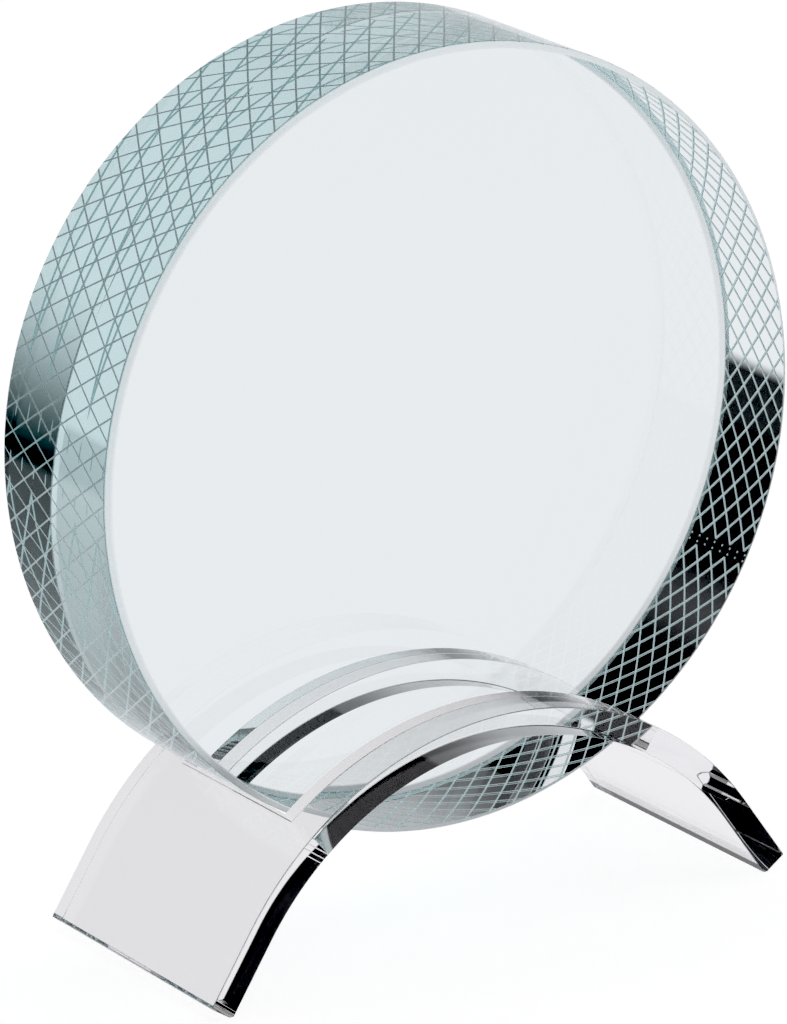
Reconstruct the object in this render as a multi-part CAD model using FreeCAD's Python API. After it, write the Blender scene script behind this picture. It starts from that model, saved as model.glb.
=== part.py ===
import FreeCAD, Part
import math
import os

# Round clear block standing in the slot of a bent clear sheet.
# Origin: on the floor, under the middle of the object. +X right, -Y front, +Z up. Millimetres.

# ---- driving dimensions ----
DISC_DIAMETER = 210.0
DISC_THICKNESS = 52.4
DISC_EDGE_CHAMFER = 1.5
# The disc stands this deep in the arch, measured from the crown down to the disc's lowest point.
DISC_SINK = 34.9

FILM_THICKNESS = 0.2
FILM_GLUE_GAP = 0.05
FILM_SEAM_ANGLE = -29.5
FILM_SEAM_WIDTH = 1.0

SHEET_THICKNESS = 7.5
SHEET_DEPTH = 80.0
SHEET_EDGE_CHAMFER = 0.4
ARC_OUTER_RADIUS = 93.2
ARC_HALF_ANGLE = 56.0
LEG_LENGTH = 22.4
FOOT_FLAT_WIDTH = 1.2

SLOT_FRONT_MARGIN = 15.8
SLOT_SIDE_GAP = 0.5
SLOT_END_GAP = 0.3
SLOT_CORNER_RADIUS = 1.0

# ---- worked out from the driving dimensions ----
DISC_RADIUS = DISC_DIAMETER / 2
FILM_INNER_RADIUS = DISC_RADIUS + FILM_GLUE_GAP
FILM_OUTER_RADIUS = FILM_INNER_RADIUS + FILM_THICKNESS
FILM_WIDTH = DISC_THICKNESS - 2 * DISC_EDGE_CHAMFER

ARC_INNER_RADIUS = ARC_OUTER_RADIUS - SHEET_THICKNESS
LEG_ANGLE = math.radians(ARC_HALF_ANGLE)
LEG_RUN = LEG_LENGTH * math.cos(LEG_ANGLE)
LEG_DROP = LEG_LENGTH * math.sin(LEG_ANGLE)
# A leg's inner bottom corner is a right angle: a level cut through it makes the foot flat.
FOOT_CUT_HEIGHT = FOOT_FLAT_WIDTH * math.sin(LEG_ANGLE) * math.cos(LEG_ANGLE)
ARC_CENTRE_Z = LEG_DROP - ARC_INNER_RADIUS * math.cos(LEG_ANGLE) - FOOT_CUT_HEIGHT
ARCH_TOP_Z = ARC_CENTRE_Z + ARC_OUTER_RADIUS

SHEET_FRONT_Y = -SHEET_DEPTH / 2
SLOT_FRONT_Y = SHEET_FRONT_Y + SLOT_FRONT_MARGIN
SLOT_WIDTH = DISC_THICKNESS + 2 * SLOT_SIDE_GAP
DISC_FRONT_Y = SLOT_FRONT_Y + SLOT_SIDE_GAP
DISC_CENTRE_Y = DISC_FRONT_Y + DISC_THICKNESS / 2

DISC_CENTRE_Z = ARCH_TOP_Z - DISC_SINK + DISC_RADIUS

BACK = FreeCAD.Vector(0, 1, 0)
DISC_FRONT_CENTRE = FreeCAD.Vector(0, DISC_FRONT_Y, DISC_CENTRE_Z)


def slot_half_angle():
    """Angle from the arch's crown to the slot's end, where the disc's rim meets the outer surface."""
    seat_radius = FILM_OUTER_RADIUS + SLOT_END_GAP
    rise = DISC_CENTRE_Z - ARC_CENTRE_Z
    cosine = (ARC_OUTER_RADIUS**2 + rise**2 - seat_radius**2) / (2 * ARC_OUTER_RADIUS * rise)
    return math.degrees(math.acos(cosine))


def arc_point(radius, degrees_from_crown):
    """Point on an arc about the arch's centre, in the sheet's front plane."""
    angle = math.radians(degrees_from_crown)
    x = radius * math.sin(angle)
    z = ARC_CENTRE_Z + radius * math.cos(angle)
    return FreeCAD.Vector(x, SHEET_FRONT_Y, z)


def make_clear_disc():
    """Solid clear block: a flat cylinder lying along Y, with both rims chamfered."""
    disc = Part.makeCylinder(DISC_RADIUS, DISC_THICKNESS, DISC_FRONT_CENTRE, BACK)
    rims = []
    for edge in disc.Edges:
        if isinstance(edge.Curve, Part.Circle):
            rims.append(edge)
    return disc.makeChamfer(DISC_EDGE_CHAMFER, rims)


def make_rim_film():
    """Clear film with a printed lattice, wrapped once round the rim, with its two ends at the seam."""
    start = FreeCAD.Vector(0, DISC_FRONT_Y + DISC_EDGE_CHAMFER, DISC_CENTRE_Z)
    outside = Part.makeCylinder(FILM_OUTER_RADIUS, FILM_WIDTH, start, BACK)
    inside = Part.makeCylinder(FILM_INNER_RADIUS, FILM_WIDTH, start, BACK)
    band = outside.cut(inside)
    seam_reach = 2 * FILM_OUTER_RADIUS - DISC_RADIUS
    seam_corner = FreeCAD.Vector(0, start.y, DISC_CENTRE_Z - FILM_SEAM_WIDTH / 2)
    seam = Part.makeBox(seam_reach, FILM_WIDTH, FILM_SEAM_WIDTH, seam_corner)
    seam.rotate(start, BACK, -FILM_SEAM_ANGLE)
    return band.cut(seam)


def arch_outline():
    """Closed outline of the bent sheet, seen from the front: an arc with a straight leg each side."""
    half = ARC_HALF_ANGLE
    outer_left = arc_point(ARC_OUTER_RADIUS, -half)
    outer_right = arc_point(ARC_OUTER_RADIUS, half)
    inner_left = arc_point(ARC_INNER_RADIUS, -half)
    inner_right = arc_point(ARC_INNER_RADIUS, half)
    left_leg = FreeCAD.Vector(-LEG_RUN, 0, -LEG_DROP)
    right_leg = FreeCAD.Vector(LEG_RUN, 0, -LEG_DROP)
    outer_arc = Part.Arc(outer_left, arc_point(ARC_OUTER_RADIUS, 0), outer_right)
    inner_arc = Part.Arc(inner_right, arc_point(ARC_INNER_RADIUS, 0), inner_left)
    edges = [
        outer_arc.toShape(),
        Part.makeLine(outer_right, outer_right + right_leg),
        Part.makeLine(outer_right + right_leg, inner_right + right_leg),
        Part.makeLine(inner_right + right_leg, inner_right),
        inner_arc.toShape(),
        Part.makeLine(inner_left, inner_left + left_leg),
        Part.makeLine(inner_left + left_leg, outer_left + left_leg),
        Part.makeLine(outer_left + left_leg, outer_left),
    ]
    return Part.Wire(edges)


def make_slot_cutter():
    """Sector with radial ends, so that the slot's ends stand square to the bent sheet."""
    reach = ARC_OUTER_RADIUS + SHEET_THICKNESS
    half = math.radians(slot_half_angle())
    across = reach * math.sin(half)
    up = reach * math.cos(half)
    start = FreeCAD.Vector(0, SLOT_FRONT_Y, ARC_CENTRE_Z)
    left = start + FreeCAD.Vector(-across, 0, up)
    right = start + FreeCAD.Vector(across, 0, up)
    crown = start + FreeCAD.Vector(0, 0, reach)
    outline = Part.Wire([
        Part.makeLine(start, left),
        Part.Arc(left, crown, right).toShape(),
        Part.makeLine(right, start),
    ])
    cutter = Part.Face(outline).extrude(FreeCAD.Vector(0, SLOT_WIDTH, 0))
    corners = []
    for edge in cutter.Edges:
        is_radial = isinstance(edge.Curve, Part.Line) and abs(edge.tangentAt(edge.FirstParameter).y) < 0.5
        if is_radial:
            corners.append(edge)
    return cutter.makeFillet(SLOT_CORNER_RADIUS, corners)


def outline_edges(sheet):
    """Edges of the bent sheet's front and back faces, apart from the feet's."""
    chosen = []
    for edge in sheet.Edges:
        box = edge.BoundBox
        is_front = box.YMax < SHEET_FRONT_Y + SHEET_EDGE_CHAMFER
        is_back = box.YMin > -SHEET_FRONT_Y - SHEET_EDGE_CHAMFER
        is_foot = box.ZMax < SHEET_EDGE_CHAMFER
        if (is_front or is_back) and not is_foot:
            chosen.append(edge)
    return chosen


def make_arch_base():
    """One bent clear sheet with a slot through its crown and a narrow flat under each leg."""
    depth = FreeCAD.Vector(0, SHEET_DEPTH, 0)
    sheet = Part.Face(arch_outline()).extrude(depth)
    below = 2 * SHEET_THICKNESS
    floor_corner = FreeCAD.Vector(-DISC_DIAMETER, -SHEET_DEPTH, -below)
    below_floor = Part.makeBox(2 * DISC_DIAMETER, 2 * SHEET_DEPTH, below, floor_corner)
    sheet = sheet.cut(below_floor)
    sheet = sheet.makeChamfer(SHEET_EDGE_CHAMFER, outline_edges(sheet))
    return sheet.cut(make_slot_cutter())


def export(node, shape):
    """Write one sub-part and report its size."""
    box = shape.BoundBox
    print(node, shape.isValid(), len(shape.Solids), "volume", round(shape.Volume),
          "x", round(box.XMin, 2), round(box.XMax, 2),
          "y", round(box.YMin, 2), round(box.YMax, 2),
          "z", round(box.ZMin, 2), round(box.ZMax, 2))
    shape.exportStep("parts/" + node + ".step")


os.makedirs("parts", exist_ok=True)
export("clear_disc", make_clear_disc())
export("rim_film", make_rim_film())
export("arch_base", make_arch_base())
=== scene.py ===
import math

import bmesh
import bpy
from mathutils import Matrix, Vector


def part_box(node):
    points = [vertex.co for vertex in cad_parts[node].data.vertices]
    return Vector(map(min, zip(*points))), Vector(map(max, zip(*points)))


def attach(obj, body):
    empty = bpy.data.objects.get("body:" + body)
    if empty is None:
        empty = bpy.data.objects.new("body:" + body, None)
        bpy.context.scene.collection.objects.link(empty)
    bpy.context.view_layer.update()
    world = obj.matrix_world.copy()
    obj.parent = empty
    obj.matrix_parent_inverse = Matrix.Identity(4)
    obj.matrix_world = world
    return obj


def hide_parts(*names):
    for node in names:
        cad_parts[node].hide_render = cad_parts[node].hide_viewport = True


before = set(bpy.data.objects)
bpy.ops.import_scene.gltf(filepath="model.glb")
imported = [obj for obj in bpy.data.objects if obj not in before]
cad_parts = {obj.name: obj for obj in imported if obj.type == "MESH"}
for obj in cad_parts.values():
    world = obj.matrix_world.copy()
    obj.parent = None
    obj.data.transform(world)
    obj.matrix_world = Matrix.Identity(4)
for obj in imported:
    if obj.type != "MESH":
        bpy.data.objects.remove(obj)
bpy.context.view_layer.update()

MM = 0.001

# ---- the clear disc, from its CAD node ----
DISC_LOW, DISC_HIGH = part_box("clear_disc")
DISC_RADIUS = (DISC_HIGH.x - DISC_LOW.x) / 2
DISC_CENTRE = (DISC_LOW + DISC_HIGH) / 2
DISC_FRONT = DISC_LOW.y
DISC_BACK = DISC_HIGH.y
DISC_CHAMFER = 1.5 * MM
DISC_SOFTENING = 0.2 * MM
DISC_SEGMENTS = 720

# ---- the lattice on the rim, from the film's CAD node ----
FILM_LOW, FILM_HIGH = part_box("rim_film")
SEAM_ANGLE = math.radians(-29.5)
SEAM_GAP = math.radians(2.1)
LATTICE_COUNT = 86
LATTICE_SPAN = 2 * math.pi - SEAM_GAP
LATTICE_PITCH = LATTICE_SPAN / LATTICE_COUNT
LATTICE_TWIST = math.radians(38.0) / DISC_RADIUS
LATTICE_NODE_Y = DISC_CENTRE.y + 3.37 * MM
LINE_WIDTH = 0.5 * MM
LINE_THICKNESS = 0.04 * MM
LINE_DEPTHS = (0.10 * MM, 0.20 * MM)
LINE_STEPS = 14
# Painted light: the printed lines are made to glow, their outer side weakly and their inner side more
# strongly, in place of the daylight that would reach them through the clear disc.
LATTICE_PAINTED_GLOWS = (0.13, 0.33)
DOT_RADIUS = 0.3 * MM
DOT_ROWS = (-0.22, 0.22)
DOTS_PER_ROW = 8
DOT_SIDES = 10

# ---- the bent sheet, from its CAD node ----
SHEET_LOW, SHEET_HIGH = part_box("arch_base")
SHEET_THICKNESS = 7.5 * MM
ARC_OUTER_RADIUS = 93.2 * MM
ARC_INNER_RADIUS = ARC_OUTER_RADIUS - SHEET_THICKNESS
ARC_HALF_ANGLE = math.radians(56.0)
ARC_CENTRE_Z = SHEET_HIGH.z - ARC_OUTER_RADIUS
LEG_LENGTH = 22.4 * MM
SLOT_SIDE_GAP = 0.5 * MM
SHEET_BEVEL = 0.25 * MM
SHEET_BEVEL_SEGMENTS = 3
SHEET_SHARP_ANGLE = math.radians(25)
ARC_STEP = math.radians(0.5)
LEG_STEPS = 12
TINY = 1e-9

# ---- clear materials ----
BLOCK_IOR = 1.52
BLOCK_TINT = (0.0, 0.773, 0.80)
BLOCK_TINT_DENSITY = 1.1
BLOCK_CHAMFER_ROUGHNESS = 0.4
SHEET_IOR = 1.49
SHEET_TINT = (0.7, 0.75, 0.85)
SHEET_TINT_DENSITY = 1.0
POLISH_ROUGHNESS = 0.004
HAZE_SCALE = 22.0
HAZE_DETAIL = 4.0


def new_object(name, verts, faces):
    mesh = bpy.data.meshes.new(name)
    mesh.from_pydata(verts, [], faces)
    mesh.update()
    obj = bpy.data.objects.new(name, mesh)
    bpy.context.scene.collection.objects.link(obj)
    return obj


def face_outwards(obj):
    bm = bmesh.new()
    bm.from_mesh(obj.data)
    bmesh.ops.recalc_face_normals(bm, faces=bm.faces)
    bm.to_mesh(obj.data)
    bm.free()


def rim_point(radius, angle, y):
    return Vector((radius * math.cos(angle), y, DISC_CENTRE.z + radius * math.sin(angle)))


def disc_profile():
    """(radius, y) pairs from the middle of the front face, round the rim, to the middle of the back."""
    soft = DISC_SOFTENING
    slope = DISC_CHAMFER / 4
    front = [
        (0.0, 0.0),
        (DISC_RADIUS / 2, 0.0),
        (DISC_RADIUS - DISC_CHAMFER - 2 * soft, 0.0),
        (DISC_RADIUS - DISC_CHAMFER - soft, 0.0),
        (DISC_RADIUS - DISC_CHAMFER, soft / 3),
        (DISC_RADIUS - DISC_CHAMFER + soft, soft),
        (DISC_RADIUS - DISC_CHAMFER + slope, slope),
        (DISC_RADIUS - slope, DISC_CHAMFER - slope),
        (DISC_RADIUS - soft, DISC_CHAMFER - soft),
        (DISC_RADIUS - soft / 3, DISC_CHAMFER),
        (DISC_RADIUS, DISC_CHAMFER + soft),
        (DISC_RADIUS, DISC_CHAMFER + 2 * soft),
    ]
    profile = [(r, DISC_FRONT + y) for r, y in front]
    profile += [(r, DISC_BACK - y) for r, y in reversed(front)]
    return profile


def make_disc():
    profile = disc_profile()
    ring = profile[1:-1]
    verts = []
    for i in range(DISC_SEGMENTS):
        angle = 2 * math.pi * i / DISC_SEGMENTS
        verts += [rim_point(r, angle, y) for r, y in ring]
    middle_front, middle_back = len(verts), len(verts) + 1
    verts += [rim_point(0.0, 0.0, profile[0][1]), rim_point(0.0, 0.0, profile[-1][1])]
    faces = []
    count = len(ring)
    for i in range(DISC_SEGMENTS):
        a = i * count
        b = (i + 1) % DISC_SEGMENTS * count
        faces.append((middle_front, b, a))
        faces.append((middle_back, a + count - 1, b + count - 1))
        for k in range(count - 1):
            faces.append((a + k, b + k, b + k + 1, a + k + 1))
    disc = new_object("polished_disc", verts, faces)
    face_outwards(disc)
    ground = disc.data.attributes.new("ground", "FLOAT", "FACE")
    for polygon in disc.data.polygons:
        slope = abs(polygon.normal.y)
        polygon.use_smooth = slope < 0.999
        ground.data[polygon.index].value = 1.0 if 0.3 < slope < 0.95 else 0.0
    return disc


def band(verts, faces, rows):
    """Closed strip with a four-sided section, one section per row."""
    first = len(verts)
    for row in rows:
        verts += row
    for k in range(len(rows) - 1):
        a = first + 4 * k
        for j in range(4):
            faces.append((a + j, a + (j + 1) % 4, a + 4 + (j + 1) % 4, a + 4 + j))
    last = first + 4 * (len(rows) - 1)
    faces.append((first + 3, first + 2, first + 1, first))
    faces.append((last, last + 1, last + 2, last + 3))


def lattice_line(verts, faces, start, twist, depth):
    """One printed line, from edge to edge of the film or to the seam."""
    ends = sorted(((0.0 - start) / twist, (LATTICE_SPAN - start) / twist))
    low = max(FILM_LOW.y, LATTICE_NODE_Y + ends[0])
    high = min(FILM_HIGH.y, LATTICE_NODE_Y + ends[1])
    if high - low < LINE_WIDTH:
        return
    outer = DISC_RADIUS - depth
    inner = outer - LINE_THICKNESS
    half = LINE_WIDTH / 2 * math.hypot(1.0, twist * DISC_RADIUS) / DISC_RADIUS
    steps = max(2, round(LINE_STEPS * (high - low) / (FILM_HIGH.y - FILM_LOW.y)))
    seam_top = SEAM_ANGLE + SEAM_GAP / 2
    rows = []
    for k in range(steps + 1):
        y = low + (high - low) * k / steps
        angle = seam_top + start + twist * (y - LATTICE_NODE_Y)
        corners = ((outer, -half), (outer, half), (inner, half), (inner, -half))
        rows.append([rim_point(radius, angle + side, y) for radius, side in corners])
    band(verts, faces, rows)


def seam_dot(verts, faces, angle, y, depth):
    first = len(verts)
    for radius in (DISC_RADIUS - depth, DISC_RADIUS - depth - LINE_THICKNESS):
        for k in range(DOT_SIDES):
            turn = 2 * math.pi * k / DOT_SIDES
            side = DOT_RADIUS * math.cos(turn) / DISC_RADIUS
            verts.append(rim_point(radius, angle + side, y + DOT_RADIUS * math.sin(turn)))
    faces.append(tuple(first + k for k in range(DOT_SIDES)))
    faces.append(tuple(first + DOT_SIDES + k for k in reversed(range(DOT_SIDES))))
    for k in range(DOT_SIDES):
        after = (k + 1) % DOT_SIDES
        faces.append((first + k, first + DOT_SIDES + k, first + DOT_SIDES + after, first + after))


def make_lattice():
    verts, faces = [], []
    overrun = math.ceil(LATTICE_TWIST * (FILM_HIGH.y - FILM_LOW.y) / LATTICE_PITCH)
    for direction, depth in zip((1, -1), LINE_DEPTHS):
        for i in range(-overrun, LATTICE_COUNT + overrun + 1):
            lattice_line(verts, faces, i * LATTICE_PITCH, direction * LATTICE_TWIST, depth)
    for row in DOT_ROWS:
        for k in range(DOTS_PER_ROW):
            y = FILM_LOW.y + (FILM_HIGH.y - FILM_LOW.y) * (k + 0.5) / DOTS_PER_ROW
            seam_dot(verts, faces, SEAM_ANGLE + row * SEAM_GAP, y, LINE_DEPTHS[0])
    lattice = new_object("rim_lattice", verts, faces)
    face_outwards(lattice)
    return lattice


def slot_half_angle():
    """Angle from the arch's crown to the slot's end, where the film's outside meets the arch's top."""
    seat_radius = (FILM_HIGH.x - FILM_LOW.x) / 2
    rise = DISC_CENTRE.z - ARC_CENTRE_Z
    cosine = (ARC_OUTER_RADIUS ** 2 + rise ** 2 - seat_radius ** 2) / (2 * ARC_OUTER_RADIUS * rise)
    return math.acos(cosine)


SLOT_HALF_ANGLE = slot_half_angle()


def sheet_section():
    """Rows along the bent sheet, foot to foot: outer point, inner point, whether it is in the slot."""
    rows = []
    run = Vector((math.cos(ARC_HALF_ANGLE), 0, -math.sin(ARC_HALF_ANGLE))) * LEG_LENGTH

    def arc(radius, angle):
        return Vector((radius * math.sin(angle), 0, ARC_CENTRE_Z + radius * math.cos(angle)))

    outer_end = arc(ARC_OUTER_RADIUS, ARC_HALF_ANGLE)
    inner_end = arc(ARC_INNER_RADIUS, ARC_HALF_ANGLE)
    outer_foot = outer_end + run
    inner_foot = inner_end + run
    across = (outer_foot - inner_foot).normalized()
    along = run.normalized()
    floor_outer = inner_foot + across * (-inner_foot.z / across.z)
    floor_inner = inner_foot - along * (inner_foot.z / along.z)
    leg = []
    for k in range(1, LEG_STEPS):
        t = k / LEG_STEPS
        leg.append((outer_foot.lerp(outer_end, t), floor_inner.lerp(inner_end, t)))
    turn = []
    spans = [ARC_HALF_ANGLE, SLOT_HALF_ANGLE, 0.0]
    for a, b in zip(spans, spans[1:]):
        count = max(1, round((a - b) / ARC_STEP))
        for k in range(count):
            angle = a + (b - a) * k / count
            in_slot = angle <= SLOT_HALF_ANGLE + TINY
            turn.append((arc(ARC_OUTER_RADIUS, angle), arc(ARC_INNER_RADIUS, angle), in_slot))
    turn.append((arc(ARC_OUTER_RADIUS, 0.0), arc(ARC_INNER_RADIUS, 0.0), True))
    right = [(outer_foot, floor_inner, False)]
    right += [(o, i, False) for o, i in leg]
    right += turn
    mirrored = [(Vector((-o.x, 0, o.z)), Vector((-i.x, 0, i.z)), s) for o, i, s in right]
    return mirrored[:-1] + right[::-1], floor_outer


def make_arch():
    rows, floor_outer = sheet_section()
    slot_front = DISC_FRONT - SLOT_SIDE_GAP
    slot_back = DISC_BACK + SLOT_SIDE_GAP
    lines = (SHEET_LOW.y, slot_front, slot_back, SHEET_HIGH.y)
    verts = []
    for outer, inner, _ in rows:
        for y in lines:
            verts.append((outer.x, y, outer.z))
            verts.append((inner.x, y, inner.z))

    def at(row, line, side):
        return 8 * row + 2 * line + side

    faces = []
    last = len(rows) - 1
    for k in range(last):
        slotted = rows[k][2] and rows[k + 1][2]
        for j in range(3):
            if j == 1 and slotted:
                continue
            for side in (0, 1):
                faces.append((at(k, j, side), at(k + 1, j, side), at(k + 1, j + 1, side), at(k, j + 1, side)))
        walls = [0, 3] + ([1, 2] if slotted else [])
        for j in walls:
            faces.append((at(k, j, 0), at(k + 1, j, 0), at(k + 1, j, 1), at(k, j, 1)))
    ends = [k for k in range(1, last) if rows[k][2] and not (rows[k - 1][2] and rows[k + 1][2])]
    for k in ends:
        faces.append((at(k, 1, 0), at(k, 2, 0), at(k, 2, 1), at(k, 1, 1)))
    for k, sign in ((0, -1), (last, 1)):
        edge = []
        for y in lines:
            edge.append(len(verts))
            verts.append((sign * floor_outer.x, y, floor_outer.z))
        for j in range(3):
            faces.append((at(k, j, 0), at(k, j + 1, 0), edge[j + 1], edge[j]))
            faces.append((edge[j], edge[j + 1], at(k, j + 1, 1), at(k, j, 1)))
        for j in (0, 3):
            faces.append((at(k, j, 0), edge[j], at(k, j, 1)))
    arch = new_object("bent_arch", verts, faces)
    face_outwards(arch)
    soften_edges(arch)
    return arch


def soften_edges(obj):
    """Narrow polished bevel along every real edge."""
    for polygon in obj.data.polygons:
        polygon.use_smooth = True
    bevel = obj.modifiers.new("bevel", "BEVEL")
    bevel.width = SHEET_BEVEL
    bevel.segments = SHEET_BEVEL_SEGMENTS
    bevel.limit_method = "ANGLE"
    bevel.angle_limit = SHEET_SHARP_ANGLE
    bevel.harden_normals = True
    bpy.context.view_layer.update()
    graph = bpy.context.evaluated_depsgraph_get()
    applied = bpy.data.meshes.new_from_object(obj.evaluated_get(graph))
    obj.modifiers.clear()
    obj.data = applied


def principled(name):
    material = bpy.data.materials.new(name)
    material.use_nodes = True
    return material, material.node_tree.nodes, material.node_tree.links


def clear_material(name, ior, tint, density):
    """Clear polished solid with a faint body tint."""
    material, nodes, links = principled(name)
    shader = nodes["Principled BSDF"]
    shader.inputs["Base Color"].default_value = (1, 1, 1, 1)
    shader.inputs["Transmission Weight"].default_value = 1.0
    shader.inputs["IOR"].default_value = ior
    place = nodes.new("ShaderNodeTexCoord")
    haze = nodes.new("ShaderNodeTexNoise")
    haze.inputs["Scale"].default_value = HAZE_SCALE
    haze.inputs["Detail"].default_value = HAZE_DETAIL
    spread = nodes.new("ShaderNodeMapRange")
    spread.name = "polish"
    spread.inputs["To Min"].default_value = 0.0
    spread.inputs["To Max"].default_value = POLISH_ROUGHNESS
    links.new(place.outputs["Object"], haze.inputs["Vector"])
    links.new(haze.outputs["Fac"], spread.inputs["Value"])
    links.new(spread.outputs["Result"], shader.inputs["Roughness"])
    volume = nodes.new("ShaderNodeVolumeAbsorption")
    volume.inputs["Color"].default_value = (*tint, 1)
    volume.inputs["Density"].default_value = density
    links.new(volume.outputs["Volume"], nodes["Material Output"].inputs["Volume"])
    return material


def add_ground_faces(material, roughness):
    """Makes the material satin where its mesh is marked as ground."""
    nodes, links = material.node_tree.nodes, material.node_tree.links
    ground = nodes.new("ShaderNodeAttribute")
    ground.attribute_name = "ground"
    satin = nodes.new("ShaderNodeMath")
    satin.operation = "MULTIPLY_ADD"
    satin.inputs[1].default_value = roughness
    links.new(ground.outputs["Fac"], satin.inputs[0])
    links.new(nodes["polish"].outputs["Result"], satin.inputs[2])
    links.new(satin.outputs["Value"], nodes["Principled BSDF"].inputs["Roughness"])


def lattice_material(name, glow):
    material, nodes, links = principled(name)
    shader = nodes["Principled BSDF"]
    shader.inputs["Roughness"].default_value = 0.55
    # Painted light: this emission makes the printed lines glow, though they are no lamp.
    shader.inputs["Emission Color"].default_value = (0.90, 0.98, 1.0, 1)
    shader.inputs["Emission Strength"].default_value = glow
    place = nodes.new("ShaderNodeTexCoord")
    fleck = nodes.new("ShaderNodeTexNoise")
    fleck.inputs["Scale"].default_value = 900.0
    ramp = nodes.new("ShaderNodeValToRGB")
    ramp.color_ramp.elements[0].color = (0.60, 0.80, 0.82, 1)
    ramp.color_ramp.elements[1].color = (0.72, 0.90, 0.92, 1)
    links.new(place.outputs["Object"], fleck.inputs["Vector"])
    links.new(fleck.outputs["Fac"], ramp.inputs["Fac"])
    links.new(ramp.outputs["Color"], shader.inputs["Base Color"])
    return material


# ---- pieces ----
disc = make_disc()
block = clear_material("clear_block", BLOCK_IOR, BLOCK_TINT, BLOCK_TINT_DENSITY)
add_ground_faces(block, BLOCK_CHAMFER_ROUGHNESS)
disc.data.materials.append(block)
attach(disc, "disc")
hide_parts("clear_disc")

lattice = make_lattice()
for side, glow in zip(("outer", "inner"), LATTICE_PAINTED_GLOWS):
    lattice.data.materials.append(lattice_material("printed_lattice_painted_glow_" + side, glow))
# Faces looking outward get the weaker painted glow, faces looking inward the stronger one.
for polygon in lattice.data.polygons:
    outward = polygon.center - DISC_CENTRE
    polygon.material_index = 1 if polygon.normal.dot(outward) < 0 else 0
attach(lattice, "disc")
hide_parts("rim_film")

arch = make_arch()
arch.data.materials.append(clear_material("clear_sheet", SHEET_IOR, SHEET_TINT, SHEET_TINT_DENSITY))
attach(arch, "base")
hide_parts("arch_base")


# ---- studio ----
CAMERA_AZIMUTH = math.radians(-32.49)
CAMERA_ELEVATION = math.radians(18.74)
CAMERA_ROLL = math.radians(-1.70)
CAMERA_PLACE = DISC_CENTRE + Vector((-1005.1, -1573.0, 607.4)) * MM
CAMERA_LENS = 265.6
CAMERA_SENSOR = 36.0


def add_camera():
    data = bpy.data.cameras.new("camera")
    data.lens = CAMERA_LENS
    data.sensor_width = CAMERA_SENSOR
    data.clip_start = 0.05
    data.clip_end = 50.0
    camera = bpy.data.objects.new("camera", data)
    bpy.context.scene.collection.objects.link(camera)
    back = Vector((
        math.sin(CAMERA_AZIMUTH) * math.cos(CAMERA_ELEVATION),
        -math.cos(CAMERA_AZIMUTH) * math.cos(CAMERA_ELEVATION),
        math.sin(CAMERA_ELEVATION),
    ))
    level = Vector((math.cos(CAMERA_AZIMUTH), math.sin(CAMERA_AZIMUTH), 0))
    upright = back.cross(level)
    right = level * math.cos(CAMERA_ROLL) + upright * math.sin(CAMERA_ROLL)
    up = back.cross(right)
    place = Matrix((right, up, back)).transposed().to_4x4()
    place.translation = CAMERA_PLACE
    camera.matrix_world = place
    bpy.context.scene.camera = camera


BLACK_POINT = 0.07
SURFACE_BOUNCES = 24
ALL_BOUNCES = 32
FLOOR_HALF = 6.0
FLOOR_GLOW = 0.80
DOME_RADIUS = 6.0
DOME_GLOW = 1.0

# The surroundings that the clear pieces bend and mirror: azimuth to the right of the way the
# camera looks, elevation, half angle, soft edge (degrees), brightness.
SOFT_LIGHTS = (
    (-80.0, 38.0, 15.0, 6.0, 0.3),
    (-93.0, 22.0, 7.0, 5.0, 0.7),
    (20.0, 82.0, 30.0, 8.0, 0.6),
    (-52.0, 65.0, 10.0, 5.0, 0.4),
    (28.0, 47.0, 9.0, 5.0, 0.3),
    (90.0, 56.0, 12.0, 6.0, 0.6),
    (180.0, 16.0, 22.0, 8.0, 0.5),
)
# The backdrop: its middle azimuth and half width, and its shade at each height of a unit direction.
BACKDROP_AZIMUTH = 7.0
BACKDROP_HALF_WIDTH = 42.0
BACKDROP_EDGE = 8.0
BACKDROP_SHADES = (
    (-0.35, 0.80),
    (0.00, 0.62),
    (0.14, 0.52),
    (0.28, 0.47),
    (0.36, 0.35),
    (0.44, 0.20),
    (0.50, 0.13),
    (0.60, 0.07),
    (0.66, 0.03),
    (0.70, 0.0),
)
# Above this height the backdrop ends at its left edge, and beyond that it is black.
BACKDROP_CORNER = (0.44, 0.50)
BACKDROP_CORNER_AZIMUTH = -52.0
BACKDROP_CORNER_HALF_WIDTH = 41.0
BACKDROP_CORNER_EDGE = 0.8
# The table's brightness and tint, and the heights between which its far edge falls to black;
# then the same for its nearer left edge, and for the part behind the camera on the right.
TABLE_SHADE = 0.86
TABLE_TINT = (1.01, 1.0, 1.025, 1)
TABLE_EDGE = (-0.09, -0.03)
NEAR_EDGE = (-0.285, -0.235)
NEAR_EDGE_AZIMUTH = -62.0
NEAR_EDGE_HALF_WIDTH = 22.0
NEAR_EDGE_SOFTNESS = 4.0
FADING_EDGE = (-0.30, 0.02)
FADING_EDGE_AZIMUTH = 108.0
FADING_EDGE_HALF_WIDTH = 28.0
FADING_EDGE_SOFTNESS = 6.0


def heading(azimuth, elevation=0.0):
    """Unit vector at an azimuth from the way the camera looks, in degrees."""
    turn = math.radians(azimuth) - CAMERA_AZIMUTH
    lift = math.radians(elevation)
    return Vector((math.sin(turn) * math.cos(lift), math.cos(turn) * math.cos(lift), math.sin(lift)))


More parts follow.
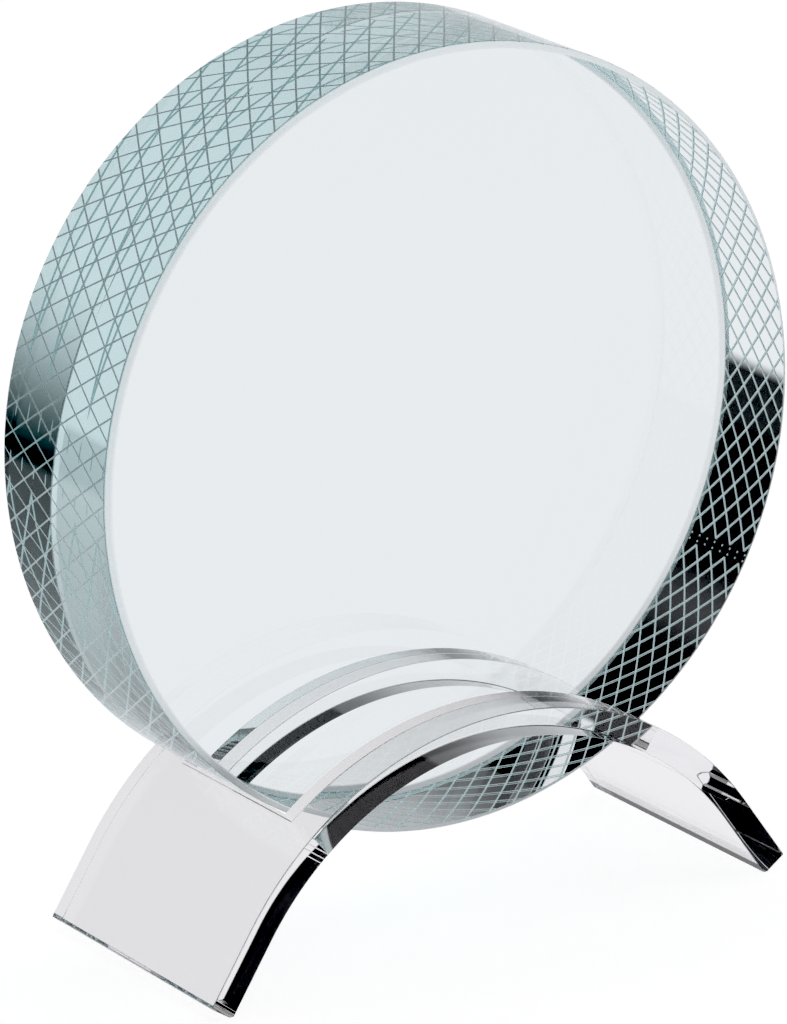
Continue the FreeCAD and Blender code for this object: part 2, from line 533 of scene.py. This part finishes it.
class WorldNodes:
    """Builds the world's brightness from directions: heights, and closeness to a heading."""

    def __init__(self, tree):
        self.nodes = tree.nodes
        self.links = tree.links
        self.direction = self.nodes.new("ShaderNodeTexCoord").outputs["Generated"]
        parts = self.nodes.new("ShaderNodeSeparateXYZ")
        self.links.new(self.direction, parts.inputs[0])
        self.height = parts.outputs["Z"]
        level = self.nodes.new("ShaderNodeVectorMath")
        level.operation = "MULTIPLY"
        level.inputs[1].default_value = (1, 1, 0)
        self.links.new(self.direction, level.inputs[0])
        unit = self.nodes.new("ShaderNodeVectorMath")
        unit.operation = "NORMALIZE"
        self.links.new(level.outputs[0], unit.inputs[0])
        self.level = unit.outputs[0]

    def step(self, value, low, high, start, end):
        node = self.nodes.new("ShaderNodeMapRange")
        node.interpolation_type = "SMOOTHSTEP"
        for name, number in (("From Min", low), ("From Max", high), ("To Min", start), ("To Max", end)):
            node.inputs[name].default_value = number
        self.links.new(value, node.inputs["Value"])
        return node.outputs["Result"]

    def near(self, vector, centre, half_angle, softness):
        """One inside the half angle round a centre, falling to nought across the soft edge."""
        node = self.nodes.new("ShaderNodeVectorMath")
        node.operation = "DOT_PRODUCT"
        node.inputs[1].default_value = centre
        self.links.new(vector, node.inputs[0])
        outside = math.cos(math.radians(half_angle + softness))
        inside = math.cos(math.radians(max(0.0, half_angle - softness)))
        return self.step(node.outputs["Value"], outside, inside, 0.0, 1.0)

    def math(self, operation, first, second):
        node = self.nodes.new("ShaderNodeMath")
        node.operation = operation
        for socket, value in zip(node.inputs, (first, second)):
            if isinstance(value, float):
                socket.default_value = value
            else:
                self.links.new(value, socket)
        return node.outputs["Value"]

    def shades(self, value, low, high, stops):
        """Shade read off a list of (value, shade) stops."""
        span = self.nodes.new("ShaderNodeMapRange")
        span.inputs["From Min"].default_value = low
        span.inputs["From Max"].default_value = high
        self.links.new(value, span.inputs["Value"])
        ramp = self.nodes.new("ShaderNodeValToRGB")
        elements = ramp.color_ramp.elements
        while len(elements) < len(stops):
            elements.new(0.5)
        for element, (place, shade) in zip(elements, stops):
            element.position = (place - low) / (high - low)
            element.color = (shade, shade, shade, 1)
        self.links.new(span.outputs["Result"], ramp.inputs["Fac"])
        return ramp.outputs["Color"]


def add_surroundings():
    world = bpy.data.worlds.new("studio")
    bpy.context.scene.world = world
    world.use_nodes = True
    tools = WorldNodes(world.node_tree)
    back = tools.near(tools.level, heading(BACKDROP_AZIMUTH), BACKDROP_HALF_WIDTH, BACKDROP_EDGE)
    shade = tools.shades(tools.height, BACKDROP_SHADES[0][0], BACKDROP_SHADES[-1][0], BACKDROP_SHADES)
    high = tools.step(tools.height, BACKDROP_CORNER[0], BACKDROP_CORNER[1], 0.0, 1.0)
    corner = heading(BACKDROP_CORNER_AZIMUTH)
    aside = tools.near(tools.level, corner, BACKDROP_CORNER_HALF_WIDTH, BACKDROP_CORNER_EDGE)
    kept = tools.math("SUBTRACT", 1.0, tools.math("MULTIPLY", high, aside))
    total = tools.math("MULTIPLY", tools.math("MULTIPLY", back, shade), kept)
    for azimuth, elevation, half_angle, softness, brightness in SOFT_LIGHTS:
        light = tools.near(tools.direction, heading(azimuth, elevation), half_angle, softness)
        total = tools.math("MAXIMUM", total, tools.math("MULTIPLY", light, brightness))
    far = tools.step(tools.height, TABLE_EDGE[0], TABLE_EDGE[1], TABLE_SHADE, 0.0)
    close = tools.step(tools.height, NEAR_EDGE[0], NEAR_EDGE[1], TABLE_SHADE, 0.0)
    cut = tools.near(tools.level, heading(NEAR_EDGE_AZIMUTH), NEAR_EDGE_HALF_WIDTH, NEAR_EDGE_SOFTNESS)
    fading = tools.step(tools.height, FADING_EDGE[0], FADING_EDGE[1], TABLE_SHADE, 0.0)
    side = tools.near(tools.level, heading(FADING_EDGE_AZIMUTH), FADING_EDGE_HALF_WIDTH, FADING_EDGE_SOFTNESS)
    away = tools.math("SUBTRACT", tools.math("SUBTRACT", 1.0, cut), side)
    table = tools.math("MAXIMUM", close, tools.math("MULTIPLY", far, away))
    table = tools.math("MAXIMUM", table, tools.math("MULTIPLY", fading, side))
    total = tools.math("MAXIMUM", total, table)
    background = tools.nodes["Background"]
    background.inputs["Color"].default_value = TABLE_TINT
    tools.links.new(total, background.inputs["Strength"])


def glowing(name, colour, glow):
    material, nodes, _ = principled(name)
    shader = nodes["Principled BSDF"]
    shader.inputs["Base Color"].default_value = colour
    shader.inputs["Roughness"].default_value = 0.9
    shader.inputs["Specular IOR Level"].default_value = 0.0
    shader.inputs["Emission Color"].default_value = (1, 1, 1, 1)
    shader.inputs["Emission Strength"].default_value = glow
    return material


def seen_by_camera_only(obj):
    obj.visible_diffuse = False
    obj.visible_glossy = False
    obj.visible_transmission = False
    obj.visible_volume_scatter = False
    obj.visible_shadow = False


def add_floor():
    half = FLOOR_HALF
    corners = [(-half, -half, 0), (half, -half, 0), (half, half, 0), (-half, half, 0)]
    floor = new_object("floor", corners, [(0, 1, 2, 3)])
    floor.data.materials.append(glowing("pale_floor", (0.9, 0.9, 0.9, 1), FLOOR_GLOW))
    seen_by_camera_only(floor)


def add_dome():
    mesh = bpy.data.meshes.new("backdrop")
    bm = bmesh.new()
    bmesh.ops.create_uvsphere(bm, u_segments=64, v_segments=32, radius=DOME_RADIUS)
    bm.to_mesh(mesh)
    bm.free()
    dome = bpy.data.objects.new("backdrop", mesh)
    bpy.context.scene.collection.objects.link(dome)
    dome.data.materials.append(glowing("pale_backdrop", (0, 0, 0, 1), DOME_GLOW))
    seen_by_camera_only(dome)


add_camera()
add_floor()
add_dome()
add_surroundings()
cycles = bpy.context.scene.cycles
cycles.glossy_bounces = SURFACE_BOUNCES
cycles.transmission_bounces = SURFACE_BOUNCES
cycles.max_bounces = ALL_BOUNCES
view = bpy.context.scene.view_settings
view.view_transform = "Standard"
view.use_curve_mapping = True
view.curve_mapping.black_level = (BLACK_POINT, BLACK_POINT, BLACK_POINT)
view.curve_mapping.update()
